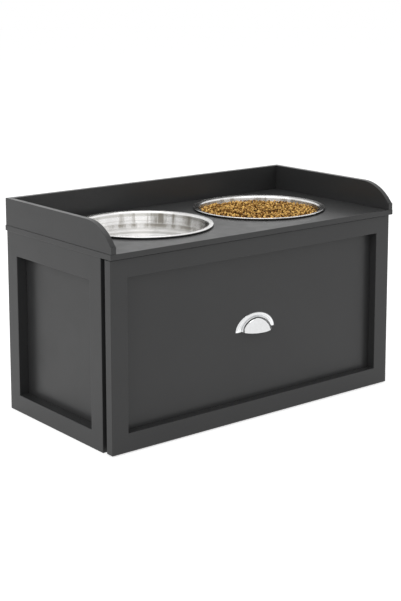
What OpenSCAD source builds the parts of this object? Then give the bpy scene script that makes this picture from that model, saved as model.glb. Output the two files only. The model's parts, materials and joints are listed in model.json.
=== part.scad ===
// Raised pet feeder: a floor-standing cabinet with two drop-in steel bowls over a storage drawer.
// Millimetres. X runs left to right, the drawer faces -Y, Z is up from the floor.
// The origin lies on the floor under the centre of the outline.

/* [Overall size] */
// Width of the top board, left to right
feeder_w = 600; // [540:1:740]
// Depth of the top board, front edge to back edge
feeder_d = 304; // [290:1:380]
// Height from the floor to the top of the guard rails
feeder_h = 360; // [290:1:450]

/* [Top board] */
// Thickness of the top board
board_t = 9; // [6:0.5:18]
// How far the top board stands out past each cabinet side
side_overhang = 3; // [0:0.5:15]
// How far the top board stands out past the drawer front
front_overhang = 6; // [0:0.5:20]

/* [Guard rails] */
// Height of the guard rails above the top board
guard_h = 45; // [25:1:70]
// Thickness of the guard rails
guard_t = 9; // [6:0.5:15]
// Step from the edge of the top board to the guard rails
guard_inset = 1; // [0:0.5:5]
// Radius of the curve that brings each side rail down at the front
guard_curve_r = 80; // [50:1:110]
// Height of the blunt nose at the front end of each side rail
guard_nose_h = 11.5; // [5:0.5:20]
// Depth of the flat top of that nose
guard_nose_flat = 2; // [1:0.5:8]

/* [Cabinet sides] */
// Thickness of the raised frame on each side
side_frame_t = 18; // [12:0.5:25]
// Thickness of the panel behind each side frame
side_panel_t = 9; // [8:0.5:15]
// Width of the front stile of a side frame
side_front_stile = 31; // [20:0.5:50]
// Width of the rear stile of a side frame
side_rear_stile = 29.5; // [20:0.5:50]
// Height of the bottom rail of a side frame
side_bottom_rail = 29.5; // [20:0.5:60]
// Height of the top rail of a side frame
side_top_rail = 40; // [20:0.5:60]
// Clear gap between the drawer front panel and the cabinet sides
front_clear = 1.3; // [0.5:0.1:5]

/* [Back and bottom] */
// Thickness of the back panel
back_t = 9; // [6:0.5:15]
// Thickness of the bottom panel
bottom_t = 15; // [12:0.5:18]
// Height of the bottom panel above the floor
bottom_lift = 10; // [4:0.5:20]
// Gap from the front edge of the cabinet sides back to the bottom panel
bottom_setback = 2; // [1:0.5:10]

/* [Drawer front] */
// Thickness of the drawer front frame
front_frame_t = 15; // [10:0.5:20]
// Width of the two stiles of the drawer front frame
front_stile = 30.5; // [20:0.5:50]
// Height of the bottom rail of the drawer front frame
front_bottom_rail = 30; // [20:0.5:50]
// Height of the top rail of the drawer front frame
front_top_rail = 29; // [20:0.5:50]
// Thickness of the panel behind the drawer front frame
front_panel_t = 9; // [7:0.5:12]
// How far that panel stops short of the outer edge of its frame
front_panel_inset = 12; // [5:0.5:20]
// Gap between the drawer front and the top board
top_gap = 1.5; // [0.5:0.5:5]
// Gap between the drawer front and the floor
floor_gap = 2; // [1:0.5:10]

/* [Drawer box] */
// Thickness of the drawer sides and back
box_t = 12; // [12:0.5:15]
// Thickness of the drawer bottom
box_floor_t = 5; // [3:0.5:8]
// Height of the drawer bottom above the lower edge of the drawer sides
box_floor_lift = 10; // [5:0.5:20]
// Depth of the groove that holds the drawer bottom
groove_d = 6; // [3:0.5:8]
// Gap between the bottom panel and the drawer sides
box_lift = 8; // [4:0.5:20]
// Free height between the drawer sides and the bowls
bowl_to_drawer = 30; // [10:1:80]
// Gap behind the drawer when it is shut
box_back_gap = 15; // [5:1:40]

/* [Drawer slides] */
// Thickness of a closed slide, from cabinet side to drawer side
slide_t = 12.7; // [12.7:0.1:16]
// Height of a slide
slide_h = 45; // [40:0.5:50]
// Thickness of the slide steel
slide_steel = 1.2; // [0.9:0.1:1.4]
// Diameter of the balls in the slides
ball_d = 3; // [2.5:0.1:3.2]
// Distance between two balls of a row
ball_pitch = 15; // [8:1:30]
// Spare length of the rails past a ball cage with the drawer fully open
cage_margin = 25; // [10:1:40]

/* [Bowls] */
// Outer diameter of the bowl rim
rim_d = 232; // [190:1:240]
// Width of the rim, from its outer edge to the bowl mouth
rim_flange = 10; // [7:0.5:15]
// Depth of a bowl from the rim to its floor
bowl_depth = 62; // [40:1:80]
// Thickness of the bowl steel
bowl_steel = 0.9; // [0.5:0.1:1.5]
// Diameter of the rolled bead round the rim
bead_d = 3.4; // [2.4:0.1:6]
// Radius of the bend from the rim into the wall
mouth_bend_r = 4; // [2:0.5:5]
// Radius of the bend from the wall into the floor
floor_bend_r = 22; // [10:1:28]
// Lean of the bowl wall from upright, in degrees
wall_lean = 8; // [2:0.5:15]
// Width of the flat ring between the floor bend and the raised disc
disc_ring = 28.5; // [10:0.5:50]
// Height of that disc
disc_h = 2; // [1:0.5:4]
// Gap between the rims of the two bowls
bowl_gap = 20; // [5:1:60]
// Distance of the bowl centres behind the middle of the top board
bowl_back = 5; // [0:0.5:15]
// Gap between a bowl and its hole in the top board
bowl_hole_gap = 2; // [1:0.5:4]

/* [Kibble] */
// Depth of the kibble surface below the rim, at the bowl wall
kibble_below = 8; // [6:0.5:40]
// Rise of the kibble surface at the centre
kibble_crown = 3; // [1:0.5:5]

/* [Cup pull] */
// Distance from a screw post of the pull to the end of its back flange
post_edge = 9.5; // [6:0.5:15]
// Height of the back flange of the pull
pull_h = 29.5; // [26:0.5:40]
// Thickness of the back flange
pull_flange_t = 4; // [3:0.5:6]
// Width of the cup
cup_w = 61; // [40:1:62]
// Height of the cup
cup_h = 22.5; // [15:0.5:24]
// Reach of the cup from the drawer front panel
cup_reach = 24; // [16:1:30]
// Wall of the cup
cup_wall = 1.6; // [1:0.1:3]
// Distance between the two screw posts of the pull
post_spacing = 64; // [62:1:68]
// Height of the screw posts above the lower edge of the pull
post_rise = 7; // [5:0.5:9]
// Distance from the middle of the drawer front down to the lower edge of the pull
pull_drop = 7; // [0:1:60]

/* [Fasteners] */
// Diameter of the wood screws
screw_d = 3.5; // [3:0.1:4]
// Diameter of the countersunk screw heads
screw_head_d = 6.8; // [5:0.1:8]
// Height of the countersunk screw heads
screw_head_h = 1.9; // [1.5:0.1:2.5]
// Gap between a fastener and its hole
hole_gap = 0.1; // [0.05:0.01:0.3]
// Length of the long wood screws
long_screw = 30; // [25:1:35]
// Length of the short wood screws
short_screw = 8; // [6:0.5:8]
// Diameter of the dowels
dowel_d = 6; // [5:0.5:7]
// Length of the dowels
dowel_len = 24; // [20:1:28]
// How deep a dowel or a cam bolt sits in the panel it stands in
peg_depth = 6; // [4:0.5:6.5]
// Diameter of the cam bolts
cam_bolt_d = 5; // [4:0.5:5.5]
// Distance from a cam bolt's panel to the middle of its cam lock
cam_reach = 20; // [15:1:30]
// Length of a leg of the angle brackets
bracket_leg = 20; // [15:1:25]
// Width of the angle brackets
bracket_w = 16; // [12:1:25]
// Thickness of the angle brackets
bracket_t = 2; // [1:0.5:2.5]

/* [Hidden] */
$fn = 64;
FINE = 128;
CUT = 1;
quarter_turn = 90;

// Heights, with the bead of a bowl just clear of the board
rim_lift = 0.3;
board_top = feeder_h - guard_h;
board_low = board_top - board_t;
front_low = floor_gap;
front_top = board_low - top_gap;
bottom_top = bottom_lift + bottom_t;
rim_top = board_top + rim_lift + bead_d;
bowl_floor = rim_top - bowl_depth;
bowl_low = bowl_floor - bowl_steel;
box_low = bottom_top + box_lift;
box_top = bowl_low - bowl_to_drawer;
box_floor_z = box_low + box_floor_lift;
slide_z = (box_low + box_top) / 2;

// Widths, measured from the middle
half_w = feeder_w / 2;
side_x = half_w - side_overhang;
panel_x = side_x - side_frame_t;
inner_x = panel_x - side_panel_t;
box_x = inner_x - slide_t;
box_in_x = box_x - box_t;
guard_x = half_w - guard_inset;
bowl_x = (rim_d + bowl_gap) / 2;

// Depths
cup_past = max(0, cup_reach - front_frame_t - front_overhang);
rear_y = (feeder_d + cup_past) / 2;
board_y = rear_y - feeder_d;
face_y = board_y + front_overhang;
front_panel_y = face_y + front_frame_t;
box_y = front_panel_y + front_panel_t;
side_y = box_y + front_clear;
back_y = rear_y - back_t;
box_rear = back_y - box_back_gap;
box_len = box_rear - box_y;
box_back_y = box_rear - box_t;
bottom_y = side_y + bottom_setback;
bowl_y = board_y + feeder_d / 2 + bowl_back;
guard_rear = rear_y - guard_inset;

// Slides
slide_len = box_len;
cage_len = slide_len / 2 - cage_margin;
cage_y = box_y + (slide_len - cage_len) / 2;
ball_gap = 0.2;
ball_track = ball_d + ball_gap;
middle_h = slide_h - 2 * (slide_steel + ball_track);
inner_h = middle_h - 2 * (slide_steel + ball_track);
rail_open = 1.7;
outer_web_gap = 1.4;
inner_web_gap = 1.2;
middle_open = 2.2;
middle_in = slide_steel + outer_web_gap;
middle_out = slide_t - middle_open;
inner_in = middle_in + slide_steel + inner_web_gap;
cage_sheet = 0.5;
cage_gap = 0.4;

// Pull
pull_w = post_spacing + 2 * post_edge;
pull_z = (front_low + front_top) / 2 - pull_drop;
post_d = 7;
post_depth = 5;
pull_screw_d = 4;
pull_screw_grip = 4;
pull_screw_head_d = 8;
pull_screw_head_h = 2.4;

// Bowl section: where the wall leaves the mouth bend and where it meets the floor bend
mouth_r = rim_d / 2 - rim_flange;
bowl_hole_r = mouth_r + bowl_steel + bowl_hole_gap;
wall_top_x = mouth_r + mouth_bend_r * (1 - cos(wall_lean));
wall_top_z = rim_top - mouth_bend_r * (1 - sin(wall_lean));
floor_bend_z = bowl_floor + floor_bend_r;
wall_run = (wall_top_z - floor_bend_z + floor_bend_r * sin(wall_lean)) / cos(wall_lean);
floor_bend_x = wall_top_x - wall_run * sin(wall_lean) - floor_bend_r * cos(wall_lean);
disc_r = floor_bend_x - disc_ring - disc_h;
kibble_gap = 0.3;
mouth_steps = 5;
floor_steps = 8;
heap_steps = 8;

// Fastener places, each with its distance from the edge it is measured from
guard_screw_front = 50;
guard_screw_rear = 35;
bracket_front = 25;
bracket_rear = 40;
bracket_hole_edge = 8;
back_screw_low = 15;
back_screw_high = 20;
bottom_cam_edge = 45;
bottom_dowel_edge = 80;
slide_screw_edge = 20;
box_joint_low = 30;
box_joint_high = 25;
box_dowel_step = 22;
guard_screw_y = [board_y + guard_screw_front, (board_y + rear_y) / 2, rear_y - guard_screw_rear];
guard_screw_step = (feeder_w - 2 * guard_t) / 4;
guard_screw_x = [for (i = [-1.5 : 1 : 1.5]) i * guard_screw_step];
side_bracket_y = [side_y + bracket_front, back_y - bracket_rear];
back_bracket_x = [-inner_x / 2, inner_x / 2];
back_screw_step = (board_low - back_screw_high - bottom_top - back_screw_low) / 2;
back_screw_z = [for (i = [0 : 2]) bottom_top + back_screw_low + i * back_screw_step];
back_screw_x = [-inner_x * 2 / 3, 0, inner_x * 2 / 3];
bottom_cam_y = [bottom_y + bottom_cam_edge, back_y - bottom_cam_edge];
bottom_dowel_y = [bottom_y + bottom_dowel_edge, back_y - bottom_dowel_edge];
slide_screw_step = (slide_len - 2 * slide_screw_edge) / 2;
slide_screw_y = [for (i = [0 : 2]) box_y + slide_screw_edge + i * slide_screw_step];
box_joint_z = [box_low + box_joint_low, box_top - box_joint_high];
box_dowel_z = [box_joint_z[0] + box_dowel_step, box_joint_z[1] - box_dowel_step];
cam_d = 15;
cam_depth = 12;
box_cam_d = 12;
box_cam_skin = 2.5;
box_cam_depth = box_t - box_cam_skin;
cam_tip_step = 1;
cam_tip_len = 2;
cam_slot_w = 1.2;
cam_slot_d = 1.5;
screw_tip_d = 1;
cross_w = 0.8;
cross_d = 1;

// A box given by its two far corners
module slab(low, high) {
    translate(low) cube(high - low);
}

// Copies a shape to the other side of the middle plane
module both_sides() {
    children();
    mirror([1, 0, 0]) children();
}

// Keeps a shape drawn for the right side there, or mirrors it to the left
module on_side(side) {
    if (side < 0) mirror([1, 0, 0]) children();
    else children();
}

// Countersunk wood screw, head flush with z = 0, pointing up
module wood_screw(length) {
    difference() {
        union() {
            cylinder(d1 = screw_head_d, d2 = screw_d, h = screw_head_h);
            cylinder(d = screw_d, h = length - screw_d);
            translate([0, 0, length - screw_d]) cylinder(d1 = screw_d, d2 = screw_tip_d, h = screw_d);
        }
        cross_slot(screw_head_d / 2, cross_w, cross_d);
    }
}

// Cross slot cut down into a screw or lock at z = 0
module cross_slot(length, width, depth) {
    for (turn = [0, quarter_turn])
        rotate([0, 0, turn])
            translate([-length / 2, -width / 2, -CUT]) cube([length, width, CUT + depth]);
}

// Hole that takes such a screw
module wood_screw_hole(length) {
    gap = 2 * hole_gap;
    cylinder(d1 = screw_head_d + gap, d2 = screw_d + gap, h = screw_head_h);
    translate([0, 0, -CUT]) cylinder(d = screw_head_d + gap, h = CUT);
    cylinder(d = screw_d + gap, h = length + hole_gap);
}

// Places screws, or their holes, up through the top board into the guard rails
module at_guard_screws() {
    both_sides()
        for (y = guard_screw_y)
            translate([guard_x - guard_t / 2, y, board_low]) children();
    for (x = guard_screw_x)
        translate([x, guard_rear - guard_t / 2, board_low]) children();
}

// Places shapes at the angle brackets: local X runs along the board away from the wall
module at_brackets() {
    for (y = side_bracket_y) {
        translate([inner_x, y, board_low]) rotate([0, 0, 2 * quarter_turn]) children();
        translate([-inner_x, y, board_low]) children();
    }
    for (x = back_bracket_x)
        translate([x, back_y, board_low]) rotate([0, 0, -quarter_turn]) children();
}

// Places screws, or their holes, in both legs of a bracket
module at_bracket_legs() {
    reach = bracket_leg - bracket_hole_edge;
    translate([reach, 0, -bracket_t]) children();
    translate([bracket_t, 0, -reach]) rotate([0, -quarter_turn, 0]) children();
}

// Places screws, or their holes, through the back panel
module at_back_screws() {
    both_sides()
        for (z = back_screw_z)
            translate([(inner_x + panel_x) / 2, rear_y, z]) rotate([quarter_turn, 0, 0]) children();
    for (x = back_screw_x)
        translate([x, rear_y, bottom_lift + bottom_t / 2]) rotate([quarter_turn, 0, 0]) children();
}

// Places screws, or their holes, in the cabinet rails of the slides
module at_cabinet_rail_screws() {
    both_sides()
        for (y = slide_screw_y)
            translate([inner_x - slide_steel, y, slide_z]) rotate([0, quarter_turn, 0]) children();
}

// Places screws, or their holes, in the drawer rails of the slides
module at_drawer_rail_screws() {
    both_sides()
        for (y = slide_screw_y)
            translate([box_x + slide_steel, y, slide_z]) rotate([0, -quarter_turn, 0]) children();
}

// Places screws, or their holes, through the drawer sides into the drawer back
module at_box_back_screws() {
    both_sides()
        for (z = box_joint_z)
            translate([box_x, box_rear - box_t / 2, z]) rotate([0, -quarter_turn, 0]) children();
}

// Top board with its two bowl holes
module top_board() {
    color("#4a4a4b") difference() {
        slab([-half_w, board_y, board_low], [half_w, rear_y, board_top]);
        for (x = [-bowl_x, bowl_x])
            translate([x, bowl_y, board_low - CUT])
                cylinder(r = bowl_hole_r, h = board_t + 2 * CUT, $fn = FINE);
        at_guard_screws() wood_screw_hole(long_screw);
        at_brackets() at_bracket_legs() wood_screw_hole(short_screw);
    }
}

// Side guard rail: flat top, curved fall to the front, blunt nose
module side_guard(side) {
    curve_drop = guard_h - guard_nose_h;
    curve_run = sqrt(pow(guard_curve_r, 2) - pow(guard_curve_r - curve_drop, 2));
    curve_start = board_y + guard_nose_flat + curve_run;
    low_x = guard_x - guard_t;
    nose_top = board_top + guard_nose_h;
    color("#4c4c4d") difference() {
        on_side(side) {
            slab([low_x, curve_start, board_top], [guard_x, guard_rear, feeder_h]);
            slab([low_x, board_y, board_top], [guard_x, curve_start, nose_top]);
            intersection() {
                slab([low_x, board_y, board_top], [guard_x, curve_start, feeder_h]);
                translate([low_x - CUT, curve_start, feeder_h - guard_curve_r]) rotate([0, quarter_turn, 0])
                    cylinder(r = guard_curve_r, h = guard_t + 2 * CUT, $fn = FINE);
            }
        }
        at_guard_screws() wood_screw_hole(long_screw);
    }
}

// Guard rail along the back, between the two side rails
module back_guard() {
    x = guard_x - guard_t;
    color("#454546") difference() {
        slab([-x, guard_rear - guard_t, board_top], [x, guard_rear, feeder_h]);
        at_guard_screws() wood_screw_hole(long_screw);
    }
}

// Raised frame on the outside of a cabinet side
module side_frame(side) {
    color("#515152") on_side(side) difference() {
        slab([panel_x, side_y, 0], [side_x, rear_y, board_low]);
        slab(
            [panel_x - CUT, side_y + side_front_stile, side_bottom_rail],
            [side_x + CUT, rear_y - side_rear_stile, board_low - side_top_rail]
        );
        cam_bolt_holes();
    }
}

// Panel that closes a side frame from inside and carries a slide
module side_panel(side) {
    color("#505051") on_side(side) difference() {
        slab([inner_x, side_y, 0], [panel_x, back_y, board_low]);
        cam_bolt_holes();
        bottom_dowel_holes();
        at_back_screws() wood_screw_hole(long_screw);
        at_cabinet_rail_screws() wood_screw_hole(short_screw);
        at_brackets() at_bracket_legs() wood_screw_hole(short_screw);
    }
}

// Back panel, let in between the two side frames
module back_panel() {
    color("#454546") difference() {
        slab([-panel_x, back_y, bottom_lift], [panel_x, rear_y, board_low]);
        at_back_screws() wood_screw_hole(long_screw);
        at_brackets() at_bracket_legs() wood_screw_hole(short_screw);
    }
}

// Bottom panel between the two side panels
module bottom_panel() {
    color("#454546") difference() {
        slab([-inner_x, bottom_y, bottom_lift], [inner_x, back_y, bottom_top]);
        at_back_screws() wood_screw_hole(long_screw);
        bottom_dowel_holes();
        cam_bolt_holes();
        at_cam_locks() translate([0, 0, -CUT])
            cylinder(d = cam_d + 2 * hole_gap, h = cam_depth + hole_gap + CUT);
    }
}

// Places the cam locks in the underside of the bottom panel
module at_cam_locks() {
    both_sides()
        for (y = bottom_cam_y)
            translate([inner_x - cam_reach, y, bottom_lift]) children();
}

// A cam bolt standing in a panel at x = 0 and pointing along +X into its cam lock
module cam_bolt(depth, reach) {
    rotate([0, quarter_turn, 0]) {
        translate([0, 0, -depth]) cylinder(d = cam_bolt_d, h = depth + reach);
        translate([0, 0, reach]) cylinder(d = cam_bolt_d + cam_tip_step, h = cam_tip_len);
    }
}

// Hole along such a bolt
module cam_bolt_hole(depth, reach) {
    gap = 2 * hole_gap;
    rotate([0, quarter_turn, 0])
        translate([0, 0, -depth - hole_gap])
            cylinder(d = cam_bolt_d + cam_tip_step + gap, h = depth + reach + cam_tip_len + gap);
}

// Bolts of the bottom panel, in the side panels
module at_cam_bolts() {
    both_sides()
        for (y = bottom_cam_y)
            translate([inner_x, y, bottom_lift + bottom_t / 2]) rotate([0, 0, 2 * quarter_turn]) children();
}

module cam_bolt_holes() {
    at_cam_bolts() cam_bolt_hole(peg_depth, cam_reach);
}

module dowel_hole() {
    cylinder(d = dowel_d + 2 * hole_gap, h = dowel_len + 2 * hole_gap, center = true);
}

module bottom_dowel_holes() {
    at_bottom_dowels() dowel_hole();
}

// Places the dowels between the bottom panel and the side panels
module at_bottom_dowels() {
    both_sides()
        for (y = bottom_dowel_y)
            translate([inner_x + peg_depth - dowel_len / 2, y, bottom_lift + bottom_t / 2])
                rotate([0, quarter_turn, 0]) children();
}

module guard_screws() {
    color("#b9babc") at_guard_screws() wood_screw(long_screw);
}

// Steel angle brackets that tie the top board to the sides and the back
module angle_brackets() {
    color("#b4b6b8") at_brackets() difference() {
        union() {
            slab([0, -bracket_w / 2, -bracket_t], [bracket_leg, bracket_w / 2, 0]);
            slab([0, -bracket_w / 2, -bracket_leg], [bracket_t, bracket_w / 2, 0]);
        }
        at_bracket_legs() wood_screw_hole(short_screw);
    }
}

module bracket_screws() {
    color("#b9babc") at_brackets() at_bracket_legs() wood_screw(short_screw);
}

module back_screws() {
    color("#2d2d2e") at_back_screws() wood_screw(long_screw);
}

module cam_bolts() {
    color("#c4c5c6") at_cam_bolts() cam_bolt(peg_depth, cam_reach);
}

// Cam locks, each with the side hole that takes its bolt
module cam_locks() {
    color("#a9abad") difference() {
        at_cam_locks() cylinder(d = cam_d, h = cam_depth);
        cam_bolt_holes();
        at_cam_locks() cross_slot(cam_d / 2, cam_slot_w, cam_slot_d);
    }
}

module bottom_dowels() {
    color("#c9a675") at_bottom_dowels() cylinder(d = dowel_d, h = dowel_len, center = true);
}

// Channel rail along Y with its web at web_x and its flanges reaching to tip_x
module channel(web_x, tip_x, height) {
    low = min(web_x, tip_x);
    high = max(web_x, tip_x);
    hollow_low = tip_x > web_x ? low + slide_steel : low - CUT;
    hollow_high = tip_x > web_x ? high + CUT : high - slide_steel;
    half_h = height / 2;
    difference() {
        slab([low, box_y, slide_z - half_h], [high, box_y + slide_len, slide_z + half_h]);
        slab(
            [hollow_low, box_y - CUT, slide_z - half_h + slide_steel],
            [hollow_high, box_y + slide_len + CUT, slide_z + half_h - slide_steel]
        );
    }
}

// Rail screwed to the cabinet side
module cabinet_rail(side) {
    color("#a7aaad") on_side(side) difference() {
        channel(inner_x, inner_x - slide_t + rail_open, slide_h);
        at_cabinet_rail_screws() wood_screw_hole(short_screw);
    }
}

// Rail between the cabinet rail and the drawer rail
module middle_rail(side) {
    color("#9fa2a5") on_side(side)
        channel(inner_x - middle_in, inner_x - middle_out, middle_h);
}

// Rail screwed to the drawer side
module drawer_rail(side) {
    color("#a7aaad") on_side(side) difference() {
        channel(inner_x - slide_t, inner_x - inner_in, inner_h);
        at_drawer_rail_screws() wood_screw_hole(short_screw);
    }
}

// Cage that keeps two rows of balls apart, round a rail of the given height
module ball_cage(web_in, tip_in, ball_in, row_z) {
    low = inner_x - tip_in;
    high = inner_x - web_in;
    balls = floor((cage_len - ball_d) / ball_pitch);
    difference() {
        slab(
            [low, cage_y, slide_z - row_z - cage_sheet / 2],
            [high, cage_y + cage_len, slide_z + row_z + cage_sheet / 2]
        );
        slab(
            [low - CUT, cage_y - CUT, slide_z - row_z + cage_sheet / 2],
            [high - cage_sheet, cage_y + cage_len + CUT, slide_z + row_z - cage_sheet / 2]
        );
    }
    for (side_z = [-1, 1])
        for (i = [0 : balls])
            translate([
                inner_x - ball_in,
                cage_y + (cage_len - balls * ball_pitch) / 2 + i * ball_pitch,
                slide_z + side_z * row_z
            ])
                sphere(d = ball_d, $fn = 24);
}

// Cages between the cabinet rails and the middle rails
module outer_ball_cages() {
    row = slide_h / 2 - slide_steel - ball_track / 2;
    color("#d8d9d6") both_sides()
        ball_cage(slide_steel + cage_gap, middle_out, (middle_in + middle_out) / 2, row);
}

// Cages between the middle rails and the drawer rails
module inner_ball_cages() {
    row = middle_h / 2 - slide_steel - ball_track / 2;
    web = middle_in + slide_steel + cage_gap;
    color("#d8d9d6") both_sides()
        ball_cage(web, middle_out, (inner_in + middle_out) / 2, row);
}

module cabinet_rail_screws() {
    color("#b9babc") at_cabinet_rail_screws() wood_screw(short_screw);
}

module drawer_rail_screws() {
    color("#b9babc") at_drawer_rail_screws() wood_screw(short_screw);
}

// Raised frame on the drawer front
module drawer_front_frame() {
    color("#444445") difference() {
        slab([-side_x, face_y, front_low], [side_x, front_panel_y, front_top]);
        slab(
            [-side_x + front_stile, face_y - CUT, front_low + front_bottom_rail],
            [side_x - front_stile, front_panel_y + CUT, front_top - front_top_rail]
        );
    }
}

// Panel behind the drawer front frame, which closes the drawer box
module drawer_front_panel() {
    x = side_x - front_panel_inset;
    color("#444445") difference() {
        slab(
            [-x, front_panel_y, front_low + front_panel_inset],
            [x, box_y, front_top - front_panel_inset]
        );
        box_cam_bolt_holes();
        box_dowel_holes();
        at_pull_posts() {
            translate([0, 0, -CUT]) cylinder(d = post_d + 2 * hole_gap, h = CUT + post_depth + hole_gap);
            cylinder(d = pull_screw_d + 2 * hole_gap, h = front_panel_t + CUT);
        }
    }
}

// A side of the drawer box
module drawer_side(side) {
    color("#4d4d4e") on_side(side) difference() {
        slab([box_in_x, box_y, box_low], [box_x, box_rear, box_top]);
        slab(
            [box_in_x - CUT, box_y - CUT, box_floor_z],
            [box_in_x + groove_d, box_rear + CUT, box_floor_z + box_floor_t]
        );
        at_box_back_screws() wood_screw_hole(long_screw);
        at_drawer_rail_screws() wood_screw_hole(short_screw);
        box_cam_bolt_holes();
        box_dowel_holes();
        at_box_cam_locks() translate([0, 0, -CUT])
            cylinder(d = box_cam_d + 2 * hole_gap, h = box_cam_depth + hole_gap + CUT);
    }
}

// Back of the drawer box
module drawer_back() {
    color("#4d4d4e") difference() {
        slab([-box_in_x, box_back_y, box_low], [box_in_x, box_rear, box_top]);
        slab(
            [-box_in_x - CUT, box_back_y - CUT, box_floor_z],
            [box_in_x + CUT, box_back_y + groove_d, box_floor_z + box_floor_t]
        );
        at_box_back_screws() wood_screw_hole(long_screw);
    }
}

// Bottom of the drawer box, held in the grooves
module drawer_bottom() {
    tongue = groove_d - 2 * hole_gap;
    color("#4d4d4e") slab(
        [-box_in_x - tongue, box_y, box_floor_z + hole_gap],
        [box_in_x + tongue, box_back_y + tongue, box_floor_z + box_floor_t - hole_gap]
    );
}

// Bolts between the drawer front panel and the drawer sides
module at_box_cam_bolts() {
    both_sides()
        for (z = box_joint_z)
            translate([box_x - box_t / 2, box_y, z]) rotate([0, 0, quarter_turn]) children();
}

module box_cam_bolt_holes() {
    at_box_cam_bolts() cam_bolt_hole(peg_depth, cam_reach);
}

// Cam locks of the drawer, let into the inner faces of its sides
module at_box_cam_locks() {
    both_sides()
        for (z = box_joint_z)
            translate([box_in_x, box_y + cam_reach, z]) rotate([0, quarter_turn, 0]) children();
}

module at_box_dowels() {
    both_sides()
        for (z = box_dowel_z)
            translate([box_x - box_t / 2, box_y - peg_depth + dowel_len / 2, z])
                rotate([quarter_turn, 0, 0]) children();
}

module box_dowel_holes() {
    at_box_dowels() dowel_hole();
}

module drawer_cam_bolts() {
    color("#c4c5c6") at_box_cam_bolts() cam_bolt(peg_depth, cam_reach);
}

module drawer_cam_locks() {
    color("#a9abad") difference() {
        at_box_cam_locks() cylinder(d = box_cam_d, h = box_cam_depth);
        box_cam_bolt_holes();
        at_box_cam_locks() cross_slot(box_cam_d / 2, cam_slot_w, cam_slot_d);
    }
}

module drawer_dowels() {
    color("#c9a675") at_box_dowels() cylinder(d = dowel_d, h = dowel_len, center = true);
}

module drawer_back_screws() {
    color("#b9babc") at_box_back_screws() wood_screw(long_screw);
}

// Places the screw posts of the pull, pointing back into the panel
module at_pull_posts() {
    for (x = [-post_spacing / 2, post_spacing / 2])
        translate([x, front_panel_y, pull_z + post_rise]) rotate([-quarter_turn, 0, 0]) children();
}

// Upper half of an ellipsoid that bulges to the front
module cup_body(width, reach, height) {
    intersection() {
        scale([width / 2, reach, height]) sphere(r = 1, $fn = 48);
        slab([-width, -2 * reach, 0], [width, 0, 2 * height]);
    }
}

// Half-moon cup pull: a back flange, a cup open at the bottom, and two posts
module cup_pull() {
    color("#e4e4e4") difference() {
        union() {
            translate([0, front_panel_y, pull_z]) intersection() {
                rotate([quarter_turn, 0, 0]) linear_extrude(pull_flange_t)
                    scale([pull_w / 2, pull_h]) circle(1, $fn = 96);
                slab([-pull_w, -2 * pull_flange_t, 0], [pull_w, CUT, 2 * pull_h]);
            }
            translate([0, front_panel_y, pull_z]) cup_body(cup_w, cup_reach, cup_h);
            at_pull_posts() cylinder(d = post_d, h = post_depth);
        }
        translate([0, front_panel_y + CUT, pull_z - CUT])
            cup_body(cup_w - 2 * cup_wall, cup_reach - cup_wall + CUT, cup_h - cup_wall + CUT);
        at_pull_posts() translate([0, 0, post_depth - pull_screw_grip])
            cylinder(d = pull_screw_d + 2 * hole_gap, h = pull_screw_grip + CUT);
    }
}

// Pan-head machine screws that hold the pull from inside the drawer
module pull_screws() {
    color("#c4c5c6") at_pull_posts() {
        translate([0, 0, post_depth - pull_screw_grip + hole_gap])
            cylinder(d = pull_screw_d, h = front_panel_t - post_depth + pull_screw_grip);
        translate([0, 0, front_panel_t]) cylinder(d = pull_screw_head_d, h = pull_screw_head_h);
    }
}

// Points along an arc in the bowl section
function arc(centre, r, from, to, steps) =
    [for (i = [0 : steps]) let (a = from + (to - from) * i / steps) centre + r * [cos(a), sin(a)]];

// One skin of the bowl section from the rim to the axis, a given distance outside the inner skin
function bowl_skin(out) =
    let (
        mouth_bend = [mouth_r + mouth_bend_r, rim_top - mouth_bend_r],
        floor_bend = [floor_bend_x, floor_bend_z]
    )
    concat(
        [[(rim_d - bead_d) / 2, rim_top - out]],
        arc(mouth_bend, mouth_bend_r - out, 90, 180 - wall_lean, mouth_steps),
        arc(floor_bend, floor_bend_r + out, -wall_lean, -90, floor_steps),
        [
            [disc_r + disc_h, bowl_floor - out],
            [disc_r, bowl_floor + disc_h - out],
            [0, bowl_floor + disc_h - out]
        ]
    );

// Spun steel bowl with a rolled bead round its rim
module bowl(side) {
    inner = bowl_skin(0);
    outer = bowl_skin(bowl_steel);
    count = len(outer);
    color("#d9dadb") translate([side * bowl_x, bowl_y, 0]) rotate_extrude($fn = FINE) {
        polygon(concat(inner, [for (i = [1 : count]) outer[count - i]]));
        translate([(rim_d - bead_d) / 2, rim_top - bead_d / 2]) circle(d = bead_d, $fn = 24);
    }
}

// Heap of kibble that fills the right bowl almost to the rim
module kibble() {
    skin = bowl_skin(-kibble_gap);
    level = rim_top - kibble_below;
    color("#a9762f") translate([bowl_x, bowl_y, 0]) rotate_extrude($fn = FINE) intersection() {
        polygon(concat(skin, [[0, rim_top]]));
        polygon(concat(
            [[0, bowl_floor], [mouth_r, bowl_floor]],
            [for (i = [0 : heap_steps]) [
                mouth_r * (1 - i / heap_steps),
                level + kibble_crown * sin(quarter_turn * i / heap_steps)
            ]]
        ));
    }
}

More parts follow.
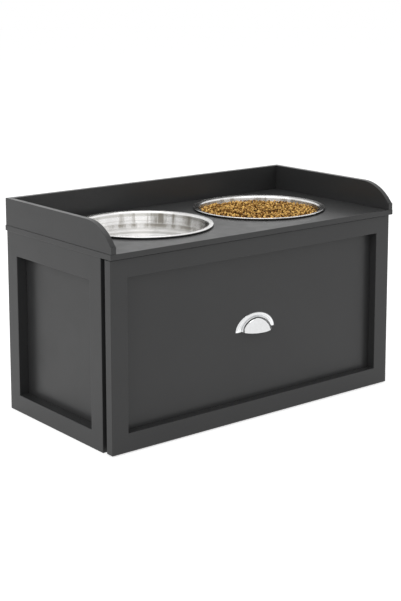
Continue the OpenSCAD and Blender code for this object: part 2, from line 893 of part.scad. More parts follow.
top_board();
side_guard(-1);  // left_guard
side_guard(1);  // right_guard
back_guard();
side_frame(-1);  // left_side_frame
side_frame(1);  // right_side_frame
side_panel(-1);  // left_side_panel
side_panel(1);  // right_side_panel
back_panel();
bottom_panel();
guard_screws();
angle_brackets();
bracket_screws();
back_screws();
cam_bolts();
cam_locks();
bottom_dowels();
cabinet_rail(-1);  // left_slide_cabinet_rail
cabinet_rail(1);  // right_slide_cabinet_rail
cabinet_rail_screws();
middle_rail(-1);  // left_slide_middle_rail
middle_rail(1);  // right_slide_middle_rail
outer_ball_cages();
inner_ball_cages();
drawer_rail(-1);  // left_slide_drawer_rail
drawer_rail(1);  // right_slide_drawer_rail
drawer_rail_screws();
drawer_front_frame();
drawer_front_panel();
drawer_side(-1);  // drawer_left_side
drawer_side(1);  // drawer_right_side
drawer_back();
drawer_bottom();
drawer_cam_bolts();
drawer_cam_locks();
drawer_dowels();
drawer_back_screws();
cup_pull();
pull_screws();
bowl(-1);  // left_bowl
bowl(1);  // right_bowl
kibble();
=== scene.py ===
"""Looks of a raised pet feeder: painted cabinet, spun steel bowls, kibble, ball slides and a chrome cup pull.

Metres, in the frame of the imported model: X to the right, the drawer faces -Y, Z up from the floor.
"""

import json
import math
import random

import bmesh
import bpy
from mathutils import Euler, Matrix, Vector


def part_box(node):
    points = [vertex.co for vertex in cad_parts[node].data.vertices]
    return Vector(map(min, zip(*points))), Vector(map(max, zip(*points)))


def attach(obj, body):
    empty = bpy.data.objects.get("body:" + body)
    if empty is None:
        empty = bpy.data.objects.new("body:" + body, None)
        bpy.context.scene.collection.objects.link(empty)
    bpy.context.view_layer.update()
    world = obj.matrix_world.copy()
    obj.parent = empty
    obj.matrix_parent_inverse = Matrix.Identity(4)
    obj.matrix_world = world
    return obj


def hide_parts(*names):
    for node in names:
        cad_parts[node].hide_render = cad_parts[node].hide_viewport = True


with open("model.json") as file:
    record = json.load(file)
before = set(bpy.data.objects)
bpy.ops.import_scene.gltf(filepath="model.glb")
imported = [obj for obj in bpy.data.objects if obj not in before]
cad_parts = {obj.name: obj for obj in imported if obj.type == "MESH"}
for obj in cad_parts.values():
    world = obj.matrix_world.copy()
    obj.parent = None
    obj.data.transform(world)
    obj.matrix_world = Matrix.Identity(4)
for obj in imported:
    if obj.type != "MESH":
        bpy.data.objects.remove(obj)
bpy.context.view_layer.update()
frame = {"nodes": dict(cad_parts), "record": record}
nodes = frame["nodes"]
record = frame["record"]
body_of = {node: body for body, held in record["behaviour"]["bodies"].items() for node in held}
slot_of = {part["node"]: part["material_slot"] for part in record["subparts"]}

MM = 0.001

# Camera, fitted to the straight edges of the cabinet
CAMERA_PLACE = (-1.3860, -1.7224, 0.7310)
CAMERA_AZIMUTH = 38.62
CAMERA_DOWN = 9.07
CAMERA_ROLL = 0.065
CAMERA_LENS = 79.29
CAMERA_SHIFT = -0.2
CAMERA_REACH = 60

PAINTED = (
    "top_board", "left_guard", "right_guard", "back_guard", "left_side_frame", "right_side_frame",
    "left_side_panel", "right_side_panel", "back_panel", "bottom_panel",
    "drawer_front_frame", "drawer_front_panel",
)
GUARDS = ("left_guard", "right_guard", "back_guard")
DRAWER_BOARDS = ("drawer_left_side", "drawer_right_side", "drawer_back", "drawer_bottom")
RAILS = tuple(
    f"{side}_slide_{part}_rail" for side in ("left", "right") for part in ("cabinet", "middle", "drawer")
)
ZINC = (
    "guard_screws", "bracket_screws", "cabinet_rail_screws", "drawer_rail_screws", "drawer_back_screws",
    "pull_screws", "cam_bolts", "drawer_cam_bolts", "angle_brackets",
)
CAST = ("cam_locks", "drawer_cam_locks")
DOWELS = ("bottom_dowels", "drawer_dowels")
CAGES = ("outer_ball_cages", "inner_ball_cages")
BLACK = ("back_screws",)


class Finish:
    """One procedural material, built up node by node in object space, whose unit is the metre."""

    def __init__(self, name, constants):
        self.material = bpy.data.materials.new(name)
        self.material.use_nodes = True
        self.tree = self.material.node_tree
        self.shader = self.tree.nodes["Principled BSDF"]
        self.place = self.node("ShaderNodeTexCoord").outputs["Object"]
        for socket, value in constants.items():
            self.shader.inputs[socket].default_value = value

    def node(self, kind, links=None, **settings):
        made = self.tree.nodes.new(kind)
        for key, value in settings.items():
            setattr(made, key, value)
        for socket, value in (links or {}).items():
            if isinstance(value, bpy.types.NodeSocket):
                self.tree.links.new(value, made.inputs[socket])
            else:
                made.inputs[socket].default_value = value
        return made

    def noise(self, scale, detail=3.0, stretch=(1, 1, 1), place=None, rough=0.55):
        scaled = self.node("ShaderNodeMapping", {"Vector": place or self.place, "Scale": stretch})
        made = self.node(
            "ShaderNodeTexNoise",
            {"Vector": scaled.outputs[0], "Scale": scale, "Detail": detail, "Roughness": rough},
        )
        return made.outputs["Fac"]

    def spread(self, value, low, high, start=0.3, end=0.7):
        """Maps a noise value from start..end to low..high."""
        made = self.node(
            "ShaderNodeMapRange",
            {"Value": value, "From Min": start, "From Max": end, "To Min": low, "To Max": high},
        )
        return made.outputs["Result"]

    def math(self, operation, first, second):
        return self.node("ShaderNodeMath", {0: first, 1: second}, operation=operation).outputs[0]

    def blend(self, share, first, second):
        made = self.node("ShaderNodeMix", data_type="RGBA")
        for socket, value in ((0, share), (6, first), (7, second)):
            if isinstance(value, bpy.types.NodeSocket):
                self.tree.links.new(value, made.inputs[socket])
            else:
                made.inputs[socket].default_value = value
        return made.outputs[2]

    def bump(self, height, distance, strength=1.0, under=None):
        links = {"Height": height, "Distance": distance, "Strength": strength}
        if under is not None:
            links["Normal"] = under
        return self.node("ShaderNodeBump", links).outputs["Normal"]

    def set(self, **sockets):
        """Links outputs to the shader's sockets: colour, roughness, normal."""
        names = {"colour": "Base Color", "roughness": "Roughness", "normal": "Normal"}
        for key, output in sockets.items():
            self.tree.links.new(output, self.shader.inputs[names[key]])
        return self.material


def grey(level, warmth=0.0):
    """A grey with a faint warm or cool cast."""
    return (level * (1 + warmth), level, level * (1 - warmth), 1)


def painted_board(name, level, rough_low, rough_high):
    """Satin charcoal paint: faint clouds of tone, fine roller texture and soft unevenness."""
    f = Finish(name, {"IOR": 1.38})
    cloud = f.noise(7, 4)
    fleck = f.noise(420, 2)
    tone = f.math("ADD", f.spread(cloud, 0, 0.7), f.spread(fleck, 0, 0.3))
    colour = f.blend(tone, grey(level * 0.93, -0.008), grey(level * 1.07, -0.014))
    roughness = f.spread(f.noise(38, 5), rough_low, rough_high)
    roller = f.bump(f.noise(1500, 2), 0.03 * MM, 0.55)
    wave = f.bump(f.noise(28, 2), 0.15 * MM, 0.35, under=roller)
    return f.set(colour=colour, roughness=roughness, normal=wave)


def drawer_board(name, level):
    """Matt charcoal laminate with a fine, faintly directional grain."""
    f = Finish(name, {"IOR": 1.45})
    grain = f.noise(240, 4, stretch=(1, 0.12, 1))
    colour = f.blend(f.spread(grain, 0, 1), grey(level * 0.88, 0.01), grey(level * 1.12, 0.01))
    roughness = f.spread(f.noise(60, 4), 0.48, 0.62)
    return f.set(colour=colour, roughness=roughness, normal=f.bump(grain, 0.05 * MM, 0.4))


def rolled_steel(name, level, rough_low, rough_high):
    """Zinc-plated strip: lengthwise rolling marks and a faint mottled plating."""
    f = Finish(name, {"Metallic": 1.0})
    marks = f.noise(900, 3, stretch=(1, 0.02, 1))
    mottle = f.noise(120, 4)
    tone = f.math("ADD", f.spread(marks, 0, 0.5), f.spread(mottle, 0, 0.5))
    colour = f.blend(tone, grey(level * 0.86, -0.01), grey(level * 1.1, -0.02))
    roughness = f.spread(mottle, rough_low, rough_high)
    return f.set(colour=colour, roughness=roughness, normal=f.bump(marks, 0.02 * MM, 0.4))


def cast_metal(name, level, rough_low, rough_high, grain_scale):
    """Small plated or cast fittings: a fine grain with dull and bright spots."""
    f = Finish(name, {"Metallic": 1.0})
    grain = f.noise(grain_scale, 4)
    colour = f.blend(f.spread(grain, 0, 1), grey(level * 0.8), grey(level * 1.12, -0.01))
    roughness = f.spread(f.noise(grain_scale / 4, 3), rough_low, rough_high)
    return f.set(colour=colour, roughness=roughness, normal=f.bump(grain, 0.03 * MM, 0.5))


def black_screw(name):
    """Black phosphate screws, slightly dusty."""
    f = Finish(name, {"Metallic": 0.6})
    grain = f.noise(2200, 3)
    colour = f.blend(f.spread(grain, 0, 1), grey(0.02), grey(0.05))
    roughness = f.spread(f.noise(600, 3), 0.42, 0.6)
    return f.set(colour=colour, roughness=roughness, normal=f.bump(grain, 0.02 * MM, 0.5))


def beech(name):
    """Turned beech dowels with short dark rays and a lengthwise grain."""
    f = Finish(name, {"IOR": 1.5})
    grain = f.noise(700, 4, stretch=(0.08, 0.08, 1))
    rays = f.noise(1400, 2, stretch=(0.25, 0.25, 1))
    tone = f.math("ADD", f.spread(grain, 0, 0.7), f.spread(rays, 0, 0.3))
    colour = f.blend(tone, (0.40, 0.22, 0.10, 1), (0.66, 0.46, 0.27, 1))
    roughness = f.spread(rays, 0.5, 0.65)
    return f.set(colour=colour, roughness=roughness, normal=f.bump(grain, 0.06 * MM, 0.5))


# Depths below the rim where the streaks painted on a bowl's wall as reflections begin and end, and the
# painted reflection ring under them
REFLECTION_STREAK_TOP = (1.5 * MM, 4 * MM)
REFLECTION_STREAK_FOOT = (18 * MM, 23 * MM)
REFLECTION_RING_TOP = (19 * MM, 21.5 * MM)
REFLECTION_RING_FOOT = (24 * MM, 30 * MM)
# How strongly, and in which dark colour, the painted reflections cover the wall
REFLECTION_MARK_SHARE = 0.8
REFLECTION_MARK_COLOUR = (0.22, 0.195, 0.15, 1)
SPINNING_TINT = (0.50, 0.485, 0.45, 1)
# How far in from the rim's edge, and how far below its top, the hem's outer side is painted near-black as
# shade under the rim
SHADED_HEM_SIDE = (1.6 * MM, 1.2 * MM)
SHADED_HEM_UNDER = (1.3 * MM, 0.9 * MM)
HEM_SHADE_LEVEL = 0.08


def spun_steel(name, centre, rim_r, rim_top):
    """Polished stainless steel round a bowl's own axis: spinning rings, streaks and a ring painted on the
    wall as reflections, and the hem's outer underside painted dark as shade.
    """
    f = Finish(name, {"Metallic": 1.0, "Anisotropic": 0.95})
    moved = f.node("ShaderNodeVectorMath", {0: f.place, 1: centre}, operation="SUBTRACT").outputs[0]
    parts = f.node("ShaderNodeSeparateXYZ", {0: moved}).outputs
    flat = f.node("ShaderNodeCombineXYZ", {0: parts[0], 1: parts[1]}).outputs[0]
    radius = f.node("ShaderNodeVectorMath", {0: flat}, operation="LENGTH").outputs["Value"]
    facing = f.node("ShaderNodeVectorMath", {0: flat}, operation="NORMALIZE").outputs[0]
    lowered = f.node("ShaderNodeVectorMath", {0: facing, 1: f.place}, operation="ADD").outputs[0]
    down = f.node("ShaderNodeVectorMath", {0: (0, 0, 1), 1: facing}, operation="SUBTRACT").outputs[0]
    f.tree.links.new(down, f.shader.inputs["Tangent"])
    along = f.node("ShaderNodeCombineXYZ", {0: radius, 1: parts[2]}).outputs[0]
    fine = f.noise(1700, 2, place=along)
    broad = f.noise(190, 3, place=along)
    haze = f.noise(30, 4)
    depth = f.math("SUBTRACT", rim_top, parts[2])
    uneven = f.noise(5.5, 7, place=lowered, rough=0.68)
    # Streaks and a ring on the wall in a dull dark colour: painted reflections, not marks in the steel
    streaks = f.math("MULTIPLY", f.spread(depth, 0, 1, *REFLECTION_STREAK_TOP), f.spread(depth, 1, 0, *REFLECTION_STREAK_FOOT))
    streaks = f.math("MULTIPLY", f.spread(uneven, 0, 1, 0.48, 0.62), streaks)
    ring = f.math("MULTIPLY", f.spread(depth, 0, 1, *REFLECTION_RING_TOP), f.spread(depth, 1, 0, *REFLECTION_RING_FOOT))
    ring = f.math("MULTIPLY", f.spread(uneven, 0.22, 1, 0.42, 0.56), ring)
    # marks here holds only the painted reflections, streaks and ring together
    marks = f.math("MAXIMUM", streaks, ring)
    clean = f.blend(f.spread(haze, 0, 1), grey(0.93, 0.006), grey(0.985, 0.002))
    ringed = f.blend(f.spread(broad, 0, 0.6, 0.45, 0.62), clean, SPINNING_TINT)
    colour = f.blend(f.math("MULTIPLY", marks, REFLECTION_MARK_SHARE), ringed, REFLECTION_MARK_COLOUR)
    # The hem's outer underside turns near-black: painted shade under the rim
    outside = f.spread(radius, 0, 1, *(rim_r - inset for inset in SHADED_HEM_SIDE))
    under = f.spread(parts[2], 1, 0, *(rim_top - drop for drop in SHADED_HEM_UNDER))
    colour = f.blend(f.math("MULTIPLY", outside, under), colour, grey(HEM_SHADE_LEVEL))
    roughness = f.math("ADD", f.spread(haze, 0.215, 0.245), f.spread(fine, 0, 0.025))
    rings = f.bump(fine, 0.004 * MM, 0.6)
    waves = f.bump(broad, 0.12 * MM, 0.5, under=rings)
    return f.set(colour=colour, roughness=roughness, normal=waves)


def bright_chrome(name):
    """Plated die casting: mirror finish with a barely uneven polish."""
    f = Finish(name, {"Metallic": 1.0})
    haze = f.noise(160, 3)
    colour = f.blend(f.spread(haze, 0, 1), grey(0.76, -0.004), grey(0.82, -0.008))
    roughness = f.spread(f.noise(420, 4), 0.045, 0.085)
    return f.set(colour=colour, roughness=roughness, normal=f.bump(haze, 0.03 * MM, 0.35))


def baked_kibble(name):
    """Dry food: every pellet its own brown, with crumbs; pores painted dark as shade in their pits, and the
    darkest tones used as painted shade for lower layers and the bed.
    """
    f = Finish(name, {"IOR": 1.4, "Specular IOR Level": 0.18})
    own = f.node("ShaderNodeAttribute", attribute_name="tone").outputs["Fac"]
    pores = f.noise(900, 5)
    patches = f.noise(300, 3)
    # Low tones run to near-black: painted shade for the lower layers and the bed
    deep = f.blend(f.spread(own, 0, 1, 0.0, 0.5), (0.012, 0.005, 0.001, 1), (0.26, 0.115, 0.022, 1))
    warm = f.blend(f.spread(own, 0, 1, 0.5, 1.0), deep, (0.95, 0.60, 0.18, 1))
    crumb = f.blend(f.spread(patches, 0, 0.25), warm, (0.40, 0.20, 0.045, 1))
    # Pores darken towards near-black: painted shade in their pits
    colour = f.blend(f.spread(pores, 0.55, 0, 0.32, 0.5), crumb, (0.05, 0.02, 0.005, 1))
    roughness = f.spread(patches, 0.45, 0.65)
    return f.set(colour=colour, roughness=roughness, normal=f.bump(pores, 0.3 * MM, 0.7))


def make_finishes():
    """Every shared material, under the name of its slot."""
    return {
        "painted_board": painted_board("painted_board", 0.03, 0.285, 0.36),
        "drawer_board": drawer_board("drawer_board", 0.06),
        "zinc_steel": cast_metal("zinc_steel", 0.62, 0.28, 0.42, 1500),
        "black_screw": black_screw("black_screw"),
        "cast_zinc": cast_metal("cast_zinc", 0.5, 0.38, 0.55, 900),
        "beech": beech("beech"),
        "rail_steel": rolled_steel("rail_steel", 0.6, 0.28, 0.4),
        "ball_cage": cast_metal("ball_cage", 0.68, 0.15, 0.26, 1200),
        "chrome_pull": bright_chrome("chrome_pull"),
        "kibble": baked_kibble("kibble"),
    }


finishes = make_finishes()


def as_object(name, mesh, body, finish, replaced=()):
    """Wraps a finished mesh up as a piece that rides on a body and stands for CAD nodes."""
    piece = bpy.data.objects.new(name, mesh)
    bpy.context.scene.collection.objects.link(piece)
    mesh.materials.clear()
    mesh.materials.append(finish)
    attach(piece, body)
    if replaced:
        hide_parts(*replaced)
    return piece


SHARP = math.radians(32)
FLAT = math.radians(0.5)
SHORTEST_EDGE = 2.2 * MM
CAD_WELD = 0.002 * MM
LATHE_WELD = 0.001 * MM


def mesh_from(bm, name, smooth=True):
    """Turns a bmesh into a mesh whose faces look outwards."""
    bmesh.ops.recalc_face_normals(bm, faces=bm.faces)
    for face in bm.faces:
        face.smooth = smooth
    mesh = bpy.data.meshes.new(name)
    bm.to_mesh(mesh)
    bm.free()
    return mesh


def soften(node, width, steps=3):
    """Stands a copy of a CAD node in its place, with every long sharp edge rounded over."""
    bm = bmesh.new()
    bm.from_mesh(nodes[node].data)
    bmesh.ops.remove_doubles(bm, verts=bm.verts, dist=CAD_WELD)
    bmesh.ops.dissolve_limit(bm, angle_limit=FLAT, verts=bm.verts, edges=bm.edges)
    corners = [edge for edge in bm.edges if edge.calc_face_angle() > SHARP]
    rounded = [edge for edge in corners if edge.calc_length() > SHORTEST_EDGE]
    for edge in corners:
        edge.smooth = False
    for edge in rounded:
        edge.smooth = True
    bmesh.ops.bevel(
        bm, geom=rounded, offset=width, offset_type="OFFSET", segments=steps, profile=0.5,
        affect="EDGES", clamp_overlap=False,
    )
    piece = as_object(
        node + "_soft", mesh_from(bm, node + "_soft"), body_of[node],
        finishes[slot_of[node]], [node],
    )
    weigh_normals(piece)


def weigh_normals(piece):
    """Keeps broad faces flat in shading, so that only the rounded edges curve."""
    weighted = piece.modifiers.new("flat_faces", "WEIGHTED_NORMAL")
    weighted.weight = 100
    weighted.keep_sharp = True


def lathe(profile, centre, steps):
    """Turns a closed profile of (radius, height) points round a vertical axis."""
    bm = bmesh.new()
    rings = []
    for i in range(steps):
        turn = 2 * math.pi * i / steps
        rings.append([
            bm.verts.new((centre[0] + r * math.cos(turn), centre[1] + r * math.sin(turn), z))
            for r, z in profile
        ])
    count = len(profile)
    for i, ring in enumerate(rings):
        beside = rings[(i + 1) % steps]
        for j in range(count):
            k = (j + 1) % count
            bm.faces.new((ring[j], ring[k], beside[k], beside[j]))
    bmesh.ops.remove_doubles(bm, verts=bm.verts, dist=LATHE_WELD)
    bmesh.ops.dissolve_degenerate(bm, dist=LATHE_WELD, edges=bm.edges)
    return bm


def bowed(value, power):
    """A cosine or sine pressed outwards, so that a circle turns into a squarer curve."""
    return math.copysign(abs(value) ** (2 / power), value)


def arc(centre, radius, start, end, steps):
    """Points on an arc, angles in degrees."""
    angles = [math.radians(start + (end - start) * i / steps) for i in range(steps + 1)]
    return [(centre[0] + radius * math.cos(a), centre[1] + radius * math.sin(a)) for a in angles]


# Bowl section: wall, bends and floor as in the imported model, with a tighter folded hem
RIM_FLANGE = 10 * MM
HEM_H = 3.4 * MM
HEM_R = 1.3 * MM
# How far round the hem curls back under the rim, in degrees
HEM_CURL = 200
EDGE_R = 0.6 * MM
BOWL_DEPTH = 62 * MM
BOWL_STEEL = 0.9 * MM
MOUTH_BEND_R = 4 * MM
FLOOR_BEND_R = 22 * MM
WALL_LEAN = 8
DISC_RING = 28.5 * MM
DISC_H = 2 * MM
DISC_STEP_R = DISC_H * 0.75
# How far each flange is dished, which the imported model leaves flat
FLANGE_DIP = {"left": 0, "right": 0.9 * MM}
# Points along each arc of the section, and round the bowl
MOUTH_STEPS = 10
FLOOR_STEPS = 24
DISC_STEPS = 4
EDGE_STEPS = 6
HEM_STEPS = 20
BOWL_TURNS = 192


def bowl_skin(rim_r, rim_top, out, dip):
    """The bowl's section from the rim to the axis, a given distance outside its inner skin."""
    lean = math.radians(WALL_LEAN)
    mouth_r = rim_r - RIM_FLANGE
    floor_z = rim_top - BOWL_DEPTH
    wall_x = mouth_r + MOUTH_BEND_R * (1 - math.cos(lean))
    mouth_z = rim_top - dip - MOUTH_BEND_R
    wall_z = mouth_z + MOUTH_BEND_R * math.sin(lean)
    bend_z = floor_z + FLOOR_BEND_R
    run = (wall_z - bend_z + FLOOR_BEND_R * math.sin(lean)) / math.cos(lean)
    bend_x = wall_x - run * math.sin(lean) - FLOOR_BEND_R * math.cos(lean)
    disc_r = bend_x - DISC_RING - DISC_H
    points = [(rim_r - EDGE_R, rim_top - out)]
    points += arc((mouth_r + MOUTH_BEND_R, mouth_z), MOUTH_BEND_R - out, 90, 180 - WALL_LEAN, MOUTH_STEPS)
    points += arc((bend_x, bend_z), FLOOR_BEND_R + out, -WALL_LEAN, -90, FLOOR_STEPS)
    foot = (disc_r + 2 * DISC_STEP_R, floor_z + DISC_STEP_R - out)
    points += arc(foot, DISC_STEP_R, -90, -135, DISC_STEPS)
    shoulder = (disc_r, floor_z + DISC_H - DISC_STEP_R - out)
    points += arc(shoulder, DISC_STEP_R, 45, 90, DISC_STEPS)
    points.append((0, floor_z + DISC_H - out))
    return points


def make_bowl(side):
    """A spun bowl: folded hem, narrow flange, leaning wall and a floor with a raised disc."""
    node = side + "_bowl"
    low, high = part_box(node)
    centre = (low + high) / 2
    rim_r = (high.x - low.x) / 2
    rim_top = high.z
    inner = bowl_skin(rim_r, rim_top, 0, FLANGE_DIP[side])
    outer = bowl_skin(rim_r, rim_top, BOWL_STEEL, FLANGE_DIP[side])
    hem = arc((rim_r - EDGE_R, rim_top - EDGE_R), EDGE_R, 90, 0, EDGE_STEPS)
    hem += arc((rim_r - HEM_R, rim_top - HEM_H + HEM_R), HEM_R, 0, -HEM_CURL, HEM_STEPS)
    profile = inner[1:] + outer[::-1][:-1] + hem[::-1]
    steel = spun_steel(node + "_steel", (centre.x, centre.y, 0), rim_r, rim_top)
    mesh = mesh_from(lathe(profile, centre, BOWL_TURNS), node + "_spun")
    as_object(node + "_spun", mesh, body_of[node], steel, [node])


# A pellet, a small puck with a rounded edge: rings of (radius, height) shares
PELLET_SHAPE = ((0.0, 1.0), (0.74, 0.8), (1.0, 0.12), (0.78, -0.8), (0.0, -1.0))
PELLET_R = 2.5 * MM
PELLET_SIDES = 8
PELLET_SPACING = PELLET_R * 1.6
# How much pellets differ: size, width and height as shares, outline, tilt in radians, height in millimetres
PELLET_SIZES = (0.82, 1.1)
PELLET_WIDTHS = (0.8, 1.0)
PELLET_HEIGHTS = (0.45, 0.62)
PELLET_WOBBLE = 0.07
PELLET_TILT = 0.8
PELLET_JITTER = 1.3
# The heap: gap to the bowl's wall, rise of its middle, and how far its edge sinks
KIBBLE_GAP = 1.6 * MM
KIBBLE_CROWN = 3 * MM
EDGE_DROP = 1.6 * MM
# The bed under the pellets: share of the heap's radius, with millimetres below its edge or above its foot
BED_TOP = ((0, 4), (0.6, 5.5), (1, 8))
BED_FOOT = ((0.72, 2), (0, 2.4))
BED_TURNS = 64
TRIES_PER_PELLET = 12
# Height in millimetres, number, darkest and lightest tone of each layer of pellets, from below; the lower
# layers are held dark as painted shade between the pellets
PELLET_LAYERS = ((-4.2, 1000, 0.0, 0.08), (-2.4, 1150, 0.0, 0.3), (0.7, 960, 0.2, 1.1))


def add_pellet(bm, tone_and_shade_layer, matrix, tone, wobble):
    """Adds one pellet, each a little different in outline."""
    rings = []
    for share, height in PELLET_SHAPE:
        if share == 0:
            rings.append([bm.verts.new(matrix @ Vector((0, 0, height)))])
            continue
        ring = []
        for i in range(PELLET_SIDES):
            turn = 2 * math.pi * i / PELLET_SIDES
            reach = share * (1 + wobble[i])
            point = Vector((reach * math.cos(turn), reach * math.sin(turn), height))
            ring.append(bm.verts.new(matrix @ point))
        rings.append(ring)
    for ring in rings:
        for vert in ring:
            vert[tone_and_shade_layer] = tone
    for above, below in zip(rings, rings[1:]):
        for i in range(PELLET_SIDES):
            j = (i + 1) % PELLET_SIDES
            if len(above) == 1:
                bm.faces.new((above[0], below[i], below[j]))
            elif len(below) == 1:
                bm.faces.new((above[i], below[0], above[j]))
            else:
                bm.faces.new((above[i], below[i], below[j], above[j]))


def scattered(dice, count, reach, spacing):
    """Seeded places in a disc, none nearer to another than the spacing, up to the number asked for."""
    grid = {}
    places = []
    for _ in range(count * TRIES_PER_PELLET):
        if len(places) == count:
            break
        r = reach * math.sqrt(dice.random())
        turn = 2 * math.pi * dice.random()
        x, y = r * math.cos(turn), r * math.sin(turn)
        key = (int(x // spacing), int(y // spacing))
        near = [p for i in (-1, 0, 1) for j in (-1, 0, 1) for p in grid.get((key[0] + i, key[1] + j), [])]
        if all((x - p[0]) ** 2 + (y - p[1]) ** 2 > spacing ** 2 for p in near):
            grid.setdefault(key, []).append((x, y))
            places.append((x, y))
    return places


def make_kibble():
    """Loose pellets heaped over a closed bed, in the space of the kibble's CAD solid; the bed and the lower
    layers are painted dark as shade between the pellets.
    """
    dice = random.Random(7)
    low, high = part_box("kibble")
    centre = (low + high) / 2
    reach = (high.x - low.x) / 2 - KIBBLE_GAP
    edge_z = high.z - KIBBLE_CROWN
    bm = bmesh.new()
    tone_and_shade_layer = bm.verts.layers.float.new("tone")
    for layer_z, count, darkest, lightest in PELLET_LAYERS:
        for x, y in scattered(dice, count, reach - PELLET_R, PELLET_SPACING):
            share = math.hypot(x, y) / reach
            heap = (KIBBLE_CROWN + EDGE_DROP) * math.cos(share * math.pi / 2) - EDGE_DROP
            lift = heap + layer_z * MM + dice.uniform(-PELLET_JITTER, PELLET_JITTER) * MM
            turned = Euler((dice.gauss(0, PELLET_TILT), dice.gauss(0, PELLET_TILT), dice.uniform(0, 6.28)))
            tilt = turned.to_matrix().to_4x4()
            size = PELLET_R * dice.uniform(*PELLET_SIZES)
            width = size * dice.uniform(*PELLET_WIDTHS)
            height = size * dice.uniform(*PELLET_HEIGHTS)
            scale = Matrix.Diagonal((size, width, height, 1))
            place = Matrix.Translation((centre.x + x, centre.y + y, edge_z + lift))
            wobble = [dice.uniform(-PELLET_WOBBLE, PELLET_WOBBLE) for _ in range(PELLET_SIDES)]
            # Lower layers get darker tones: painted shade between the pellets, over each pellet's own random
            # tone
            tone = darkest + (lightest - darkest) * dice.random() ** 0.8
            add_pellet(bm, tone_and_shade_layer, place @ tilt @ scale, tone, wobble)
    as_object(
        "kibble_pellets", mesh_from(bm, "kibble_pellets"), body_of["kibble"],
        finishes["kibble"], ["kibble"],
    )
    # The bed carries no tone, so it shows the kibble's darkest colour: a painted shade seen through the gaps
    # between pellets
    bed_profile = [(reach * share, edge_z - depth * MM) for share, depth in BED_TOP]
    bed_profile += [(reach * share, low.z + height * MM) for share, height in BED_FOOT]
    bed = mesh_from(lathe(bed_profile, centre, BED_TURNS), "kibble_shade_bed")
    as_object("kibble_shade_bed", bed, body_of["kibble"], finishes["kibble"])


# Cup pull: flange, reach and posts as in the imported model, the cup squarer and leaning back
CUP_HALF_W = 30.5 * MM
CUP_H = 23 * MM
CUP_WALL = 1.6 * MM
# How square the cup is from the front, over its shoulder and from above: 2 is an ellipse
CUP_FRONT = 1.95
CUP_SHOULDER = 4
CUP_PLAN = 2.05
# Share of its reach that the cup loses from the lip up to the shoulder
CUP_LEAN = 0.62
# The skins stop just short of the top, where their outline would shrink to nothing
CUP_TOP_RISE = 0.9995
# Section of the flange ring: share of the way in to the cup, and height in millimetres
RING_SECTION = (
    (0, 0), (0, 0.3), (0.04, 0.9), (0.1, 1.6), (0.18, 2.3), (0.28, 2.8), (0.38, 3.0), (0.48, 2.9),
    (0.54, 2.5), (0.57, 1.9), (0.62, 1.8), (0.66, 2.1), (0.72, 2.4), (0.8, 2.4), (0.87, 2.0),
    (0.9, 1.2), (0.91, 0.4), (1.2, 0.4), (1.2, 0),
)
RING_END_R = 1.6 * MM
# Share of its height that the ring keeps at its two ends
RING_END_H = 0.2
POST_SPACING = 64 * MM
POST_RISE = 7 * MM
POST_R = 3.5 * MM
POST_BORE_R = 2.1 * MM
POST_DEPTH = 5 * MM
POST_EDGE = 0.4 * MM
# How far a post reaches forward into the flange, and the solid behind the panel's face before its bore
POST_ROOT = 0.3 * MM
POST_WEB = 1 * MM


def grid_faces(bm, rows, closed):
    """Skins a list of equally long rows of vertices, each row closed on itself or open."""
    count = len(rows[0])
    for this, following in zip(rows, rows[1:]):
        for j in range(count if closed else count - 1):
            k = (j + 1) % count
            bm.faces.new((this[j], this[k], following[k], following[j]))


def add_pull_ring(bm, to_place, outer_a, outer_b):
    """The flange ring: a domed band with an inner step, rounded off at its two lower ends."""
    turns = 96
    rows = []
    for i in range(turns + 1):
        turn = math.pi * i / turns
        from_end = min(turn, math.pi - turn) * outer_a
        missing = max(0, 1 - from_end / RING_END_R)
        fullness = RING_END_H + (1 - RING_END_H) * math.sqrt(1 - missing ** 2)
        row = []
        for share, height in RING_SECTION:
            a = outer_a + (CUP_HALF_W - outer_a) * share
            b = outer_b + (CUP_H - outer_b) * share
            row.append(bm.verts.new(to_place(a * math.cos(turn), b * math.sin(turn), height * MM * fullness)))
        rows.append(row)
    grid_faces(bm, rows, closed=True)
    bm.faces.new(rows[0])
    bm.faces.new(rows[-1][::-1])


def add_pull_cup(bm, to_place, reach):
    """The thin-walled cup, open at the bottom, with a rounded lip."""
    around, upward, lip_steps = 64, 28, 6
    lip_r = CUP_WALL / 2

    def outline(inset, rise, height):
        a = (CUP_HALF_W - inset) * (1 - rise ** CUP_FRONT) ** (1 / CUP_FRONT)
        lean = 1 - CUP_LEAN * rise
        c = (reach - inset) * lean * (1 - rise ** CUP_SHOULDER) ** (1 / CUP_SHOULDER)
        row = []
        for i in range(around + 1):
            turn = math.pi * i / around
            x = a * bowed(math.cos(turn), CUP_PLAN)
            row.append(bm.verts.new(to_place(x, height, c * bowed(max(0, math.sin(turn)), CUP_PLAN))))
        return row

    def skin(inset):
        top = CUP_H - inset
        rises = [math.sin(math.pi / 2 * i / upward) for i in range(upward)] + [CUP_TOP_RISE]
        return [outline(inset, rise, lip_r + (top - lip_r) * rise) for rise in rises]

    outer, inner = skin(0), skin(CUP_WALL)
    lip = []
    for i in range(1, lip_steps):
        turn = math.pi * i / lip_steps
        lip.append(outline(lip_r * (1 - math.cos(turn)), 0, lip_r * (1 - math.sin(turn))))
    rows = outer[::-1] + lip + inner
    grid_faces(bm, rows, closed=False)
    grid_faces(bm, [outer[-1], inner[-1]], closed=False)
    for column in (0, -1):
        bm.faces.new([row[column] for row in rows])


